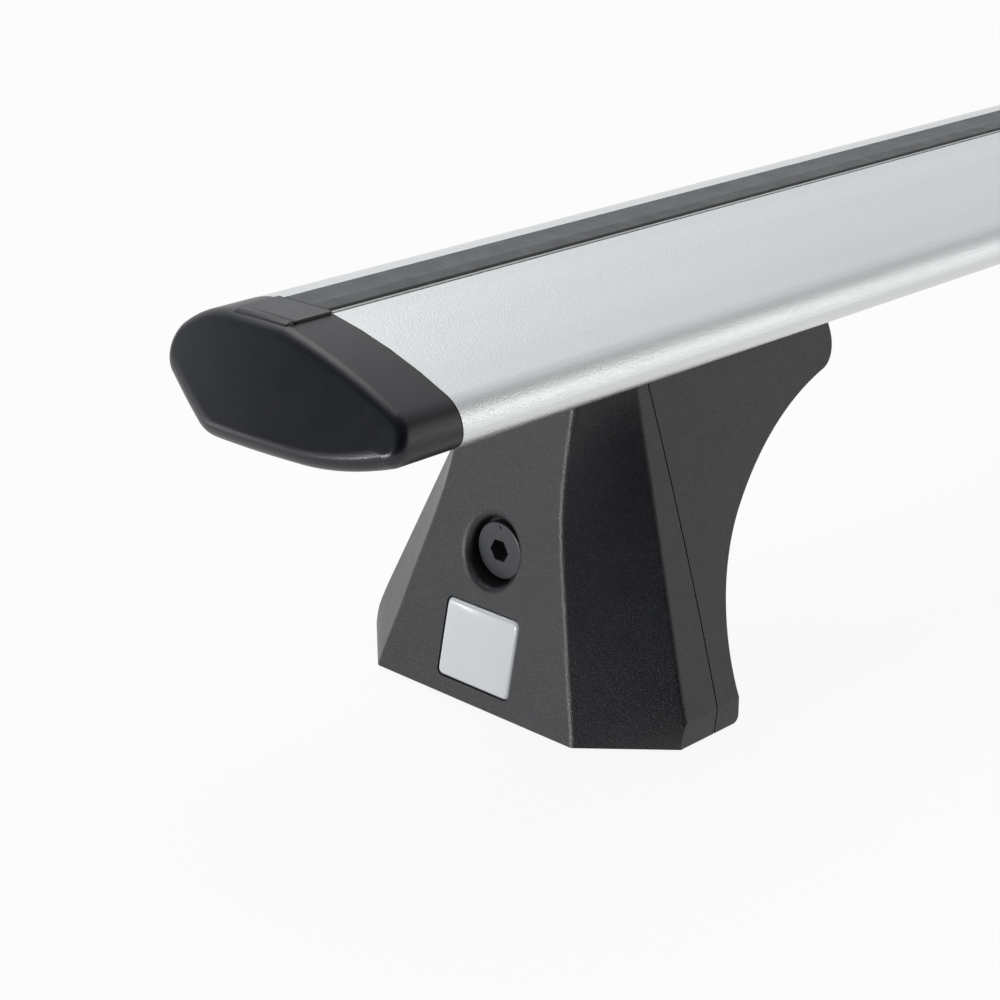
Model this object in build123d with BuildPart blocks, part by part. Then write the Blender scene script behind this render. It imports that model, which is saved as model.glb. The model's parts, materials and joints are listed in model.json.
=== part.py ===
from build123d import *
import os
from math import asin, cos, radians, sin, tan

# Roof rack crossbar: an aluminium wing profile on two clamped feet.
# X runs along the bar, +Y points forwards on the vehicle, +Z up.
# The origin lies on the roof, midway between the feet and under the middle of each foot.
# A foot is drawn with x measured inboard from the end of the profile, and then placed twice.

# Whole bar
bar_length = 1180.0
bar_base = 95.3           # roof to the flat underside of the profile
bar_height = 29.0         # flat underside to the lips of the top slot
bar_wall = 2.2
seam = 0.4                # open line between two casing parts
clearance = 0.3           # gap between parts that move past each other
thread_gap = 0.05         # radial gap of a thread drawn plain

# Wing section, as arcs that run on from each other: radii, and turns in degrees
flat_near = 15.5          # flat underside, from the foot's middle to the near side
flat_far = 14.9
belly_radius = 84.0
belly_turn = 17.0
corner_radius = 5.2
nose_radius = 9.0
nose_turn = 66.0
top_radius = 165.0
top_turn = 15.0
heel_radius = 16.0
heel_turn = 24.3
heel_length = 18.87       # straight stretch up to the far nose
far_nose_radius = 8.09
far_nose_turn = 117.87
far_top_radius = 28.83
far_top_turn = 37.53

# Top T-slot and its cover strip
strip_middle = 12.5       # forward of the foot's middle
strip_width = 16.0
strip_proud = 0.75        # the strip stands above the lips by this
strip_seat = 2.4          # depth of the step that the strip lies in
strip_gap = 0.15
strip_edge = 0.5
bead_width = 1.05         # aluminium bead on each side of the strip
bead_groove_width = 0.85
bead_groove_depth = 1.4
lip_thickness = 2.0
track_wall = 2.0
top_mouth = 10.4
top_track_width = 21.0
top_track_height = 8.4
barb_reach = 1.0          # the strip's barbs catch under the lips by this
barb_height = 1.6

# Lower slot, on the foot's middle
low_mouth = 11.0
low_track_width = 20.6
low_track_height = 7.0

# End cap
cap_reach = 33.2          # end of the profile to the foot of the cap's end face, before rounding
cap_lean = 29.6           # the end face leans back from its foot
cap_bulge = 245.0         # radius of the end face across the bar
cap_bulge_middle = 10.0   # forward of the foot's middle
cap_rim = 4.2             # rounding round the end face
cap_pocket = 12.0         # depth of the pockets that carry the two slots on into the cap
cap_end_thickness = 8.0
plug_depth = 22.0
plug_rib = 2.4            # thickness of the plugs' ribs
plug_rib_places = (-33.0, -18.0, 29.0)
plug_level = 12.7         # flat underside to the middle of the level ribs
tab_length = 13.5         # flat tab that carries the strip's line onto the cap
tab_fade = 4.0
tab_root = 3.0            # the tab's faded end lies this far under its top

# Foot casing
pad_proud = 1.0           # the rubber pad stands below the casing by this
foot_front = 45.6         # end of the profile to the front face, at the base
face_lean = 12.2
side_edge = 65.5          # end of the profile to the widest point
edge_lean = 11.3
ridge_base = 38.2         # half width of the front face at the base
ridge_lean = 15.9
ridge_straight = 48.0     # height over which the front face narrows evenly
ridge_radius = 102.0      # arc from there up to the upright neck
ridge_rounding = 2.2
flank_base = 60.2         # half width of the foot at the base
flank_lean = 22.1
skirt_height = 7.3
outline_steps = 8         # the foot's outline is drawn at this many heights and lofted
outline_reach = 1.6       # its front corners run on past the widest point by this factor
foot_rear = 90.0
rear_rise = 7.0
rear_radius = 62.0
rear_turn = 48.0
sweep_radius = 114.0
sweep_turn = 29.0
tip_radius = 10.0
casing_wall = 2.8
casing_bite = 9.0         # the casing rises this far round the profile's underside
seam_base = 78.6          # joint between cover and body: at the base, middle and top
seam_middle = 85.3
seam_top = 88.4
tongue_length = 5.0
tongue_thickness = 1.6
tongue_low = 26.0
tongue_high = 60.0
rib_thickness = 2.5
cover_rib = 70.0
body_rib = 93.0

# Captive screw that draws the cover on
screw_height = 43.9
screw_shift = 0.9         # the screw sits forward of the foot's middle by this
disc_face = 58.0
disc_radius = 8.3
disc_thickness = 3.0
disc_edge = 0.4
screw_radius = 4.0
screw_draw = 7.5          # the screw lets go of its nut after this travel
hex_flats = 6.0
hex_depth = 5.0
pip_radius = 0.6
pip_height = 0.25
pip_offset = 6.8
pocket_gap = 1.1
pocket_wall = 2.0
pocket_floor = 2.4
pocket_rounding = 2.4
clip_thickness = 1.0
clip_width = 2.6
clip_groove = 0.6
nut_width = 13.0
nut_thickness = 6.0

# Badge
badge_width = 27.4
badge_height = 22.6
badge_rise = 16.6         # base of the casing to the badge's middle, up the front face
badge_shift = 0.7         # the badge sits forward of the foot's middle by this
badge_corner = 1.7
badge_gap = 0.45
badge_sink = 1.2
badge_thickness = 1.5
badge_edge = 0.4

# Bracket, pads and clamp
pad_thickness = 5.0
base_plate = 4.0
base_plate_front = 53.5
base_plate_rear = 84.0
base_plate_half = 40.0
cheek_inner = 14.5
cheek_thickness = 3.0
cheek_inset = 3.0         # the cheeks stand in from the front edges of both plates
cheek_waist_rear = 93.0
cheek_waist_height = 46.0
cheek_top_rear = 140.0
web_front = 80.0
web_thickness = 4.0
top_plate = 4.0
top_plate_front = 73.0
top_plate_rear = 150.0
saddle_thickness = 2.3
saddle_front = 71.0
saddle_rear = 156.0
roof_bolt_radius = 4.5
clamp_bolt_radius = 4.0
clamp_bolt_gap = 0.4
bolt_head_flats = 13.0
bolt_head_height = 5.3
bolt_middle = 106.0
bolt_pitch = 26.0
washer_radius = 8.0
washer_thickness = 1.6
slot_nut_length = 66.0
slot_nut_thickness = 5.2

# Heights and places that follow from the sizes above
casing_base = pad_proud
casing_top = bar_base + casing_bite
skirt_top = casing_base + skirt_height
strip_floor = bar_height - strip_seat
track_roof = strip_floor - lip_thickness
track_floor = track_roof - top_track_height
low_block_top = bar_wall + low_track_height + track_wall
pocket_radius = disc_radius + pocket_gap
disc_back = disc_face + disc_thickness
floor_face = disc_back + clearance
floor_back = floor_face + pocket_floor
clip_face = floor_back + clearance
nut_front = web_front - nut_thickness
shank_end = nut_front + screw_draw
plate_level = pad_thickness + base_plate
saddle_top = bar_base - clearance
plate_top = saddle_top - saddle_thickness
plate_under = plate_top - top_plate
slot_nut_base = bar_base + bar_wall + clearance
cheek_outer = cheek_inner + cheek_thickness
tab_width = strip_width + 2 * (strip_gap + bead_width + bead_groove_width)
roof_bolt_x = (base_plate_front + web_front) / 2
bolt_places = {"outer": bolt_middle - bolt_pitch / 2, "inner": bolt_middle + bolt_pitch / 2}
far = 2 * bar_height + 2 * foot_rear    # longer than any cut through a foot has to be

# Ways a rectangle lies on the point it is placed at
upward = (Align.CENTER, Align.MIN)
downward = (Align.CENTER, Align.MAX)
inboard = (Align.MIN, Align.CENTER)

# Planes: across the bar on its underside, along the bar, on the foot's front face, and across the
# leaning end of the cap
bar_plane = Plane(origin=(0, 0, bar_base), x_dir=(0, 1, 0), z_dir=(1, 0, 0))
side_plane = Plane(origin=(0, 0, 0), x_dir=(1, 0, 0), z_dir=(0, -1, 0))
screw_plane = Plane(origin=(0, screw_shift, screw_height), x_dir=(0, 1, 0), z_dir=(1, 0, 0))
face_normal = Vector(-cos(radians(face_lean)), 0, sin(radians(face_lean)))
face_plane = Plane(origin=(foot_front, 0, casing_base), x_dir=(0, -1, 0), z_dir=face_normal)
cap_axis = Vector(sin(radians(cap_lean)), 0, cos(radians(cap_lean)))
cap_inward = Vector(cos(radians(cap_lean)), 0, -sin(radians(cap_lean)))
cap_plane = Plane(origin=(-cap_reach, cap_bulge_middle, bar_base), x_dir=cap_inward, z_dir=cap_axis)


def front_x(height):
    """Distance of the front face from the profile's end, at a height above the roof."""
    return foot_front + (height - casing_base) * tan(radians(face_lean))


def edge_x(height):
    """Distance of the side edge from the profile's end, at a height above the roof."""
    return side_edge + (height - casing_base) * tan(radians(edge_lean))


def ridge_half(height):
    """Half width of the front face: it narrows evenly, then along an arc up to the neck."""
    straight = min(height - casing_base, ridge_straight)
    left = max(sin(radians(ridge_lean)) - (height - casing_base - straight) / ridge_radius, 0.0)
    arc_drop = ridge_radius * (cos(asin(left)) - cos(radians(ridge_lean)))
    return ridge_base - straight * tan(radians(ridge_lean)) - arc_drop


def flank_half(height):
    """Half width of the foot: upright along the skirt, then leaning in."""
    return flank_base - max(height - skirt_top, 0.0) * tan(radians(flank_lean))


def inner_half(height, gap):
    """Half width inside the casing at a height, less a gap."""
    return flank_half(height) - (casing_wall + gap) / cos(radians(flank_lean))


def wing(outset=0.0):
    """Return the face of the wing section, grown by an outset."""
    with BuildSketch() as section:
        with BuildLine():
            belly = JernArc((-flat_near, 0), (-1, 0), belly_radius, -belly_turn)
            corner = JernArc(belly @ 1, belly % 1, corner_radius, belly_turn - 90)
            nose = JernArc(corner @ 1, corner % 1, nose_radius, -nose_turn)
            top = JernArc(nose @ 1, nose % 1, top_radius, -top_turn)
            heel = JernArc((flat_far, 0), (1, 0), heel_radius, heel_turn)
            rise = Line(heel @ 1, heel @ 1 + (heel % 1) * heel_length)
            far_nose = JernArc(rise @ 1, rise % 1, far_nose_radius, far_nose_turn)
            far_top = JernArc(far_nose @ 1, far_nose % 1, far_top_radius, far_top_turn)
            Line(far_top @ 1, top @ 1)
            Line(belly @ 0, heel @ 0)
        make_face()
        if outset:
            offset(amount=outset, kind=Kind.ARC)
    return section.sketch


def chambers(inset=0.0):
    """Return the faces of the profile's hollow chambers, shrunk by an inset."""
    block_base = track_floor - track_wall
    with BuildSketch() as section:
        add(wing(outset=-bar_wall))
        with Locations((strip_middle, block_base)):
            Rectangle(top_track_width + 2 * track_wall, bar_height, align=upward, mode=Mode.SUBTRACT)
        Rectangle(low_track_width + 2 * track_wall, low_block_top, align=upward, mode=Mode.SUBTRACT)
        with Locations((strip_middle / 2, low_block_top)):
            Rectangle(track_wall, block_base - low_block_top, align=upward, mode=Mode.SUBTRACT)
        if inset:
            offset(amount=-inset, kind=Kind.ARC)
    return section.sketch


def foot_form(inset, extra):
    """Return the foot's form, shrunk by an inset and run on past its base and top by an extra."""
    low = casing_base - extra
    high = casing_top + extra
    with BuildPart() as form:
        for step in range(outline_steps + 1):
            height = low + (high - low) * step / outline_steps
            ridge = ridge_half(height)
            wide = ridge + (flank_half(height) - ridge) * outline_reach
            wide_x = front_x(height) + (edge_x(height) - front_x(height)) * outline_reach
            with BuildSketch(Plane.XY.offset(height)):
                with BuildLine():
                    Polyline(
                        (front_x(height), -ridge),
                        (front_x(height), ridge),
                        (wide_x, wide),
                        (far, wide),
                        (far, -wide),
                        (wide_x, -wide),
                        close=True,
                    )
                make_face()
                if inset:
                    offset(amount=-inset, kind=Kind.INTERSECTION)
        loft()
        with BuildSketch(Plane.YZ):
            with BuildLine():
                Polyline(
                    (-flank_base, low - inset),
                    (flank_base, low - inset),
                    (flank_base, skirt_top),
                    (flank_half(high + inset), high + inset),
                    (-flank_half(high + inset), high + inset),
                    (-flank_base, skirt_top),
                    close=True,
                )
            make_face()
            if inset:
                offset(amount=-inset, kind=Kind.INTERSECTION)
        extrude(amount=far, mode=Mode.INTERSECT)
        with BuildSketch(side_plane):
            with BuildLine():
                rear = Line((foot_rear, low - inset), (foot_rear, casing_base + rear_rise))
                waist = JernArc(rear @ 1, rear % 1, rear_radius, -rear_turn)
                sweep = JernArc(waist @ 1, waist % 1, sweep_radius, -sweep_turn)
                tip = JernArc(sweep @ 1, sweep % 1, tip_radius, rear_turn + sweep_turn)
                Polyline(
                    tip @ 1,
                    ((tip @ 1).X, high + inset),
                    (-inset, high + inset),
                    (-inset, low - inset),
                    rear @ 0,
                )
            make_face()
            if inset:
                offset(amount=-inset, kind=Kind.ARC)
        extrude(amount=far, both=True, mode=Mode.INTERSECT)
    return form.part


def seam_side(shift):
    """Return the space outboard of the joint between cover and body, moved by a shift."""
    middle = (casing_base + casing_top) / 2
    with BuildPart() as space:
        with BuildSketch(side_plane):
            with BuildLine():
                joint = ThreePointArc(
                    (seam_base + shift, casing_base - pad_thickness),
                    (seam_middle + shift, middle),
                    (seam_top + shift, casing_top + pad_thickness),
                )
                Polyline(joint @ 1, (0, (joint @ 1).Y), (0, (joint @ 0).Y), joint @ 0)
            make_face()
        extrude(amount=far, both=True)
    return space.part


def place(master, node, side):
    """Write one node from its master: at the left end of the bar, or mirrored to the right."""
    with BuildPart() as piece:
        with Locations((-bar_length / 2, 0, 0)):
            add(master)
        if side == "right":
            mirror(about=Plane.YZ, mode=Mode.REPLACE)
    piece.part.label = f"{side}_{node}"
    export_step(piece.part, f"parts/{side}_{node}.step")


os.makedirs("parts", exist_ok=True)

wing_face = wing()
saddle_face = wing(clearance)
chamber_face = chambers()
plug_space_face = chambers(clearance)

outer_form = foot_form(0, 0)
inner_form = foot_form(casing_wall, casing_bite)
lap_form = foot_form(casing_wall + clearance, pad_thickness)
tongue_core = foot_form(casing_wall + clearance + tongue_thickness, pad_thickness)
cover_space = seam_side(0)
body_front = seam_side(seam)

# The part of each tongue that lies inside the body
with BuildPart() as lap:
    add(seam_side(tongue_length))
    add(cover_space, mode=Mode.SUBTRACT)
    add(lap_form, mode=Mode.INTERSECT)
lap_strip = lap.part

# Wing profile: one extrusion, hollow, with a T-slot above and a clamping slot below
with BuildPart() as bar_profile:
    with BuildSketch(bar_plane):
        add(wing_face)
    extrude(amount=bar_length / 2, both=True)
    with BuildSketch(bar_plane):
        add(chamber_face)
    extrude(amount=bar_length / 2, both=True, mode=Mode.SUBTRACT)
    with BuildSketch(bar_plane):
        with Locations((strip_middle, strip_floor)):
            Rectangle(strip_width + 2 * strip_gap, bar_height, align=upward)
        with Locations((strip_middle, track_roof)):
            Rectangle(top_mouth, bar_height, align=upward)
        with Locations((strip_middle, track_floor)):
            Rectangle(top_track_width, top_track_height, align=upward)
        groove_offset = strip_width / 2 + strip_gap + bead_width + bead_groove_width / 2
        groove_floor = bar_height - bead_groove_depth
        with Locations(
            (strip_middle - groove_offset, groove_floor),
            (strip_middle + groove_offset, groove_floor),
        ):
            Rectangle(bead_groove_width, bar_height, align=upward)
        with Locations((0, bar_wall)):
            Rectangle(low_track_width, low_track_height, align=upward)
        Rectangle(low_mouth, 2 * (bar_wall + low_track_height))
    extrude(amount=bar_length / 2, both=True, mode=Mode.SUBTRACT)
bar_profile.part.label = "bar_profile"
export_step(bar_profile.part, "parts/bar_profile.step")

# Cover strip: a rubber section with a stem in the slot's mouth and barbs under its lips
with BuildPart() as top_strip:
    strip_top = bar_height + strip_proud
    stem_width = top_mouth - 2 * clearance
    barb_width = top_mouth + 2 * barb_reach
    with BuildSketch(bar_plane):
        with Locations((strip_middle, strip_floor)):
            Rectangle(strip_width, strip_top - strip_floor, align=upward)
        top_corners = vertices().group_by(Axis.Y)[-1]
        fillet(top_corners, strip_edge)
        with Locations((strip_middle, strip_floor)):
            Rectangle(stem_width, lip_thickness + clearance, align=downward)
        with Locations((strip_middle, track_roof - clearance)):
            Rectangle(barb_width, barb_height, align=downward)
    extrude(amount=bar_length / 2, both=True)
top_strip.part.label = "top_strip"
export_step(top_strip.part, "parts/top_strip.step")

# End cap: a moulded block with a leaning, rounded end, ribbed plugs and the tab that meets the strip
with BuildPart() as end_cap:
    with BuildSketch(bar_plane.offset(-clearance)):
        add(wing_face)
    extrude(amount=clearance - cap_reach)
    with BuildSketch(cap_plane):
        with Locations((cap_bulge, 0)):
            Circle(cap_bulge)
    extrude(amount=far, both=True, mode=Mode.INTERSECT)
    fillet(end_cap.faces().sort_by(Axis.X)[0].edges(), cap_rim)
    with BuildSketch(side_plane.offset(-strip_middle - tab_width / 2)):
        tab_top = bar_base + bar_height + strip_proud
        with BuildLine():
            Polyline(
                (-clearance, tab_top),
                (-tab_length, tab_top),
                (-tab_length - tab_fade, tab_top - tab_root),
                (-clearance, tab_top - tab_root),
                close=True,
            )
        make_face()
    extrude(amount=tab_width)
    with BuildSketch(bar_plane.offset(-cap_end_thickness)):
        with Locations((0, plug_level)):
            Rectangle(far, plug_rib)
        with Locations(*[(rib_place, plug_level) for rib_place in plug_rib_places]):
            Rectangle(plug_rib, 2 * bar_height)
        add(plug_space_face, mode=Mode.INTERSECT)
    extrude(amount=cap_end_thickness + plug_depth)
    with BuildSketch(bar_plane.offset(-clearance)):
        with Locations((strip_middle, track_floor)):
            Rectangle(top_track_width, top_track_height, align=upward)
        with Locations((0, bar_wall)):
            Rectangle(low_track_width, low_track_height, align=upward)
    extrude(amount=clearance - cap_pocket, mode=Mode.SUBTRACT)

# Foot casing: the space inside it, with ribs that stand against the bracket and the screw's boss
with BuildPart() as casing_space:
    add(inner_form)
    rib_height = plate_under - plate_level - 2 * clearance
    rib_start = cheek_outer + clearance
    for rib_x in (cover_rib, body_rib):
        for way in (-1, 1):
            with Locations((rib_x, way * (rib_start + far / 2), plate_level + clearance)):
                Box(
                    rib_thickness,
                    far,
                    rib_height,
                    align=(Align.MIN, Align.CENTER, Align.MIN),
                    mode=Mode.SUBTRACT,
                )
    with BuildSketch(screw_plane):
        Circle(pocket_radius + pocket_wall)
    extrude(amount=floor_back, mode=Mode.SUBTRACT)

# Both halves of the casing before they part: one rounded form, cut round the profile's underside
with BuildPart() as casing:
    add(outer_form)
    upright_edges = casing.edges().filter_by(lambda edge: edge.length > bar_base)
    fillet(upright_edges, ridge_rounding)
    add(casing_space.part, mode=Mode.SUBTRACT)
    with BuildSketch(bar_plane):
        add(saddle_face)
    extrude(amount=far, mode=Mode.SUBTRACT)

# Tongues on the cover's flanks that slip inside the body
with BuildPart() as tongues:
    add(cover_space)
    add(seam_side(-tongue_length), mode=Mode.SUBTRACT)
    add(inner_form, mode=Mode.INTERSECT)
    add(lap_strip)
    add(tongue_core, mode=Mode.SUBTRACT)
    with BuildSketch(Plane.XY.offset(tongue_low)):
        Rectangle(2 * far, 2 * far)
    extrude(amount=tongue_high - tongue_low, mode=Mode.INTERSECT)

# Front cover: the outboard half, with the screw's pocket and the badge's recess
with BuildPart() as front_cover:
    add(casing.part)
    add(cover_space, mode=Mode.INTERSECT)
    add(tongues.part)
    with BuildSketch(screw_plane):
        Circle(pocket_radius)
    extrude(amount=floor_face, mode=Mode.SUBTRACT)
    pocket_walls = front_cover.faces().filter_by(GeomType.CYLINDER).sort_by(Axis.X)
    rim = pocket_walls[0].edges().sort_by(Axis.X)[0]
    fillet(rim, pocket_rounding)
    with BuildSketch(screw_plane):
        Circle(screw_radius + clearance)
    extrude(amount=nut_front, mode=Mode.SUBTRACT)
    with BuildSketch(face_plane):
        with Locations((-badge_shift, badge_rise)):
            RectangleRounded(
                badge_width + 2 * badge_gap, badge_height + 2 * badge_gap, badge_corner + badge_gap
            )
    extrude(amount=-badge_sink, mode=Mode.SUBTRACT)

# Rear body: the inboard half
with BuildPart() as rear_body:
    add(casing.part)
    add(body_front, mode=Mode.SUBTRACT)

# Badge: a plain domed plate
with BuildPart() as badge:
    with BuildSketch(face_plane.offset(-badge_sink)):
        with Locations((-badge_shift, badge_rise)):
            RectangleRounded(badge_width, badge_height, badge_corner)
    extrude(amount=badge_thickness)
    fillet(badge.faces().sort_by(Axis((0, 0, 0), face_normal))[-1].edges(), badge_edge)

# Cover screw: a flat disc head with a hexagon socket, a pip near its rim and a ringed shank
with BuildPart() as cover_screw:
    with BuildSketch(screw_plane.offset(disc_face)):
        Circle(disc_radius)
    extrude(amount=disc_thickness)
    fillet(cover_screw.edges().sort_by(Axis.X)[0], disc_edge)
    with BuildSketch(screw_plane.offset(disc_back)):
        Circle(screw_radius)
    extrude(amount=shank_end - disc_back)
    with BuildSketch(screw_plane.offset(disc_face)):
        RegularPolygon(hex_flats / 2, 6, major_radius=False)
    extrude(amount=hex_depth, mode=Mode.SUBTRACT)
    with BuildSketch(screw_plane.offset(disc_face)):
        with Locations((0, pip_offset)):
            Circle(pip_radius)
    extrude(amount=-pip_height)
    with BuildSketch(screw_plane.offset(clip_face)):
        Circle(screw_radius + clip_width)
        Circle(screw_radius - clip_groove, mode=Mode.SUBTRACT)
    extrude(amount=clip_thickness, mode=Mode.SUBTRACT)

# Screw clip: an open ring in the shank's groove, behind the pocket's floor
with BuildPart() as screw_clip:
    with BuildSketch(screw_plane.offset(clip_face)):
        Circle(screw_radius + clip_width)
        Circle(screw_radius - clip_groove, mode=Mode.SUBTRACT)
        Rectangle(
            screw_radius,
            2 * screw_radius + clip_width,
            align=downward,
            mode=Mode.SUBTRACT,
        )
    extrude(amount=clip_thickness)

# Screw nut: a square nut welded to the bracket's web
with BuildPart() as screw_nut:
    with BuildSketch(screw_plane.offset(nut_front)):
        Rectangle(nut_width, nut_width)
        Circle(screw_radius + thread_gap, mode=Mode.SUBTRACT)
    extrude(amount=nut_thickness)

# Bracket: two plates, two cheeks and a web, welded into one piece
with BuildPart() as bracket:
    with BuildSketch(side_plane):
        with BuildLine():
            Polyline(
                (base_plate_front + cheek_inset, plate_level),
                (base_plate_rear, plate_level),
                (cheek_waist_rear, cheek_waist_height),
                (cheek_top_rear, plate_under),
                (top_plate_front + cheek_inset, plate_under),
                close=True,
            )
        make_face()
    extrude(amount=cheek_outer, both=True)
    with BuildSketch(side_plane):
        with Locations((far / 2, far / 2)):
            Rectangle(far, far)
    extrude(amount=cheek_inner, both=True, mode=Mode.SUBTRACT)
    with BuildSketch(Plane.XY.offset(plate_level)):
        with Locations((web_front, 0)):
            Rectangle(web_thickness, 2 * cheek_inner, align=inboard)
    extrude(amount=plate_under - plate_level)
    with BuildSketch(Plane.XY.offset(pad_thickness)):
        with Locations((base_plate_front, 0)):
            Rectangle(
                base_plate_rear - base_plate_front, 2 * base_plate_half, align=inboard
            )
        with Locations((roof_bolt_x, 0)):
            Circle(roof_bolt_radius, mode=Mode.SUBTRACT)
    extrude(amount=base_plate)
    with BuildSketch(Plane.XY.offset(plate_under)):
        with Locations((top_plate_front, 0)):
            Rectangle(
                top_plate_rear - top_plate_front,
                2 * inner_half(plate_top, clearance),
                align=inboard,
            )
        with Locations(*[(bolt_x, 0) for bolt_x in bolt_places.values()]):
            Circle(clamp_bolt_radius + clamp_bolt_gap, mode=Mode.SUBTRACT)
    extrude(amount=top_plate)
    with BuildSketch(screw_plane.offset(web_front)):
        Circle(screw_radius + clearance)
    extrude(amount=web_thickness, mode=Mode.SUBTRACT)
    add(lap_form, mode=Mode.INTERSECT)

# Saddle pad: rubber under the profile, between the casing's walls
with BuildPart() as saddle_pad:
    with BuildSketch(Plane.XY.offset(plate_top)):
        with Locations((saddle_front, 0)):
            Rectangle(
                saddle_rear - saddle_front,
                2 * inner_half(saddle_top, clearance),
                align=inboard,
            )
        with Locations(*[(bolt_x, 0) for bolt_x in bolt_places.values()]):
            Circle(clamp_bolt_radius + clamp_bolt_gap, mode=Mode.SUBTRACT)
    extrude(amount=saddle_thickness)
    add(lap_form, mode=Mode.INTERSECT)

# Slot nut: a steel bar with two threads, in the profile's lower slot
with BuildPart() as slot_nut:
    with BuildSketch(Plane.XY.offset(slot_nut_base)):
        with Locations((bolt_middle, 0)):
            Rectangle(slot_nut_length, low_track_width - 2 * clearance)
        with Locations(*[(bolt_x, 0) for bolt_x in bolt_places.values()]):
            Circle(clamp_bolt_radius + thread_gap, mode=Mode.SUBTRACT)
    extrude(amount=slot_nut_thickness)

# Base pad: rubber that fills the casing's open base and stands on the roof
with BuildPart() as base_pad:
    add(lap_form)
    with BuildSketch(Plane.XY):
        Rectangle(2 * far, 2 * far)
    extrude(amount=pad_thickness, mode=Mode.INTERSECT)
    with BuildSketch(Plane.XY):
        with Locations((roof_bolt_x, 0)):
            Circle(roof_bolt_radius)
    extrude(amount=pad_thickness, mode=Mode.SUBTRACT)

foot_pieces = {
    "end_cap": end_cap.part,
    "front_cover": front_cover.part,
    "rear_body": rear_body.part,
    "badge": badge.part,
    "cover_screw": cover_screw.part,
    "screw_clip": screw_clip.part,
    "screw_nut": screw_nut.part,
    "bracket": bracket.part,
    "saddle_pad": saddle_pad.part,
    "slot_nut": slot_nut.part,
    "base_pad": base_pad.part,
}

# Clamp bolts and their washers: a pair in each foot
for bolt_name, bolt_x in bolt_places.items():
    with BuildPart() as slot_washer:
        with BuildSketch(Plane.XY.offset(plate_under - washer_thickness)):
            with Locations((bolt_x, 0)):
                Circle(washer_radius)
                Circle(clamp_bolt_radius + clamp_bolt_gap, mode=Mode.SUBTRACT)
        extrude(amount=washer_thickness)
    with BuildPart() as slot_bolt:
        head_base = plate_under - washer_thickness - bolt_head_height
        bolt_top = slot_nut_base + slot_nut_thickness + clearance
        with BuildSketch(Plane.XY.offset(head_base)):
            with Locations((bolt_x, 0)):
                RegularPolygon(bolt_head_flats / 2, 6, major_radius=False)
        extrude(amount=bolt_head_height)
        with BuildSketch(Plane.XY.offset(head_base)):
            with Locations((bolt_x, 0)):
                Circle(clamp_bolt_radius)
        extrude(amount=bolt_top - head_base)
    foot_pieces[f"{bolt_name}_slot_washer"] = slot_washer.part
    foot_pieces[f"{bolt_name}_slot_bolt"] = slot_bolt.part

for node, master in foot_pieces.items():
    for side in ("left", "right"):
        place(master, node, side)
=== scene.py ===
"""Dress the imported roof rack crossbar: finishes, end caps, badges, floor and light.

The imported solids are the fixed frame. Most of them keep their mesh and get a finish here. The end
caps and the badges are replaced by finer pieces that stand in the same place. Lengths in EndCap
and BadgePlate are millimetres, turned into metres once a mesh is drawn. All others are metres.
"""

import logging
import math
from dataclasses import dataclass
from enum import Enum
from typing import Callable, Iterable

import bmesh
import bpy
from mathutils import Matrix, Vector
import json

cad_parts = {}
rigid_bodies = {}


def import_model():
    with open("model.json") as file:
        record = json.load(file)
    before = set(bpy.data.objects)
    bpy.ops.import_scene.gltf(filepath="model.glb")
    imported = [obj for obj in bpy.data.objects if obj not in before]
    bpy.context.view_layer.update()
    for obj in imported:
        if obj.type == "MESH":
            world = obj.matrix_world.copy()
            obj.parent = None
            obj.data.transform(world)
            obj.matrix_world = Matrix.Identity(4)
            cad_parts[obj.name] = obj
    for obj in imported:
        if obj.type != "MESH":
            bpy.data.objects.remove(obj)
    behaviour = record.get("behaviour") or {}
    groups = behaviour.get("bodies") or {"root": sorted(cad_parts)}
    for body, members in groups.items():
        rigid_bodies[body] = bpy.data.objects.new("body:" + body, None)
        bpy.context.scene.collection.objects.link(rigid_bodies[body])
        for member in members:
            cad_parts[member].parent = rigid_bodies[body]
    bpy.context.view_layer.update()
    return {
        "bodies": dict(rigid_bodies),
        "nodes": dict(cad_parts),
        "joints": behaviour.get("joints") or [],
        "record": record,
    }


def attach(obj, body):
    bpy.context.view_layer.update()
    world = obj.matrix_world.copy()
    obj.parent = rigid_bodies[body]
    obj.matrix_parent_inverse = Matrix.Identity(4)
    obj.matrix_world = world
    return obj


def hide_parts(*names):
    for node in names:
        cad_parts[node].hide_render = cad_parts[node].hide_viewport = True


log = logging.getLogger("crossbar")

MM = 0.001
MERGE = 1e-6                      # metres within which vertices are one
NEAR = 0.01                       # millimetres within which two places are the same
WHITE = (1.0, 1.0, 1.0, 1.0)

Colour = tuple[float, float, float]
Place = tuple[float, float, float]
Socket = bpy.types.NodeSocket

class Side(Enum):
    """The two ends of the bar, with the sign of X at each."""

    LEFT = -1
    RIGHT = 1

    @property
    def label(self) -> str:
        """Return the prefix that the side's node names start with."""
        return self.name.lower()


class Surface(Enum):
    """The kinds of surface that a finish can have."""

    ANODISED = "anodised"
    MOULDED = "moulded"
    RUBBER = "rubber"
    COATED = "coated"
    PLATED = "plated"
    DOME = "dome"
    STRIP = "strip"


@dataclass(frozen=True)
class Finish:
    """What one finish looks like.

    Args:
        name: Name of the finish, as the record's material slot has it.
        surface: Kind of surface, which picks the texture that is built.
        colour: Main colour, linear.
        second: Colour that the variation runs to, linear. For moulded plastic it is also the
            crests' painted glint, and for the strip its painted shade.
        roughness: Main roughness.
        spread: How far the roughness varies.
        grain: Size of the grain, in cells per metre.
        depth: Height of the grain in metres.
        metallic: Whether the surface is bare metal.
        coat: Weight of a clear coat.
    """

    name: str
    surface: Surface
    colour: Colour
    second: Colour
    roughness: float
    spread: float = 0.06
    grain: float = 2500.0
    depth: float = 0.00004
    metallic: float = 0.0
    coat: float = 0.0


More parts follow.
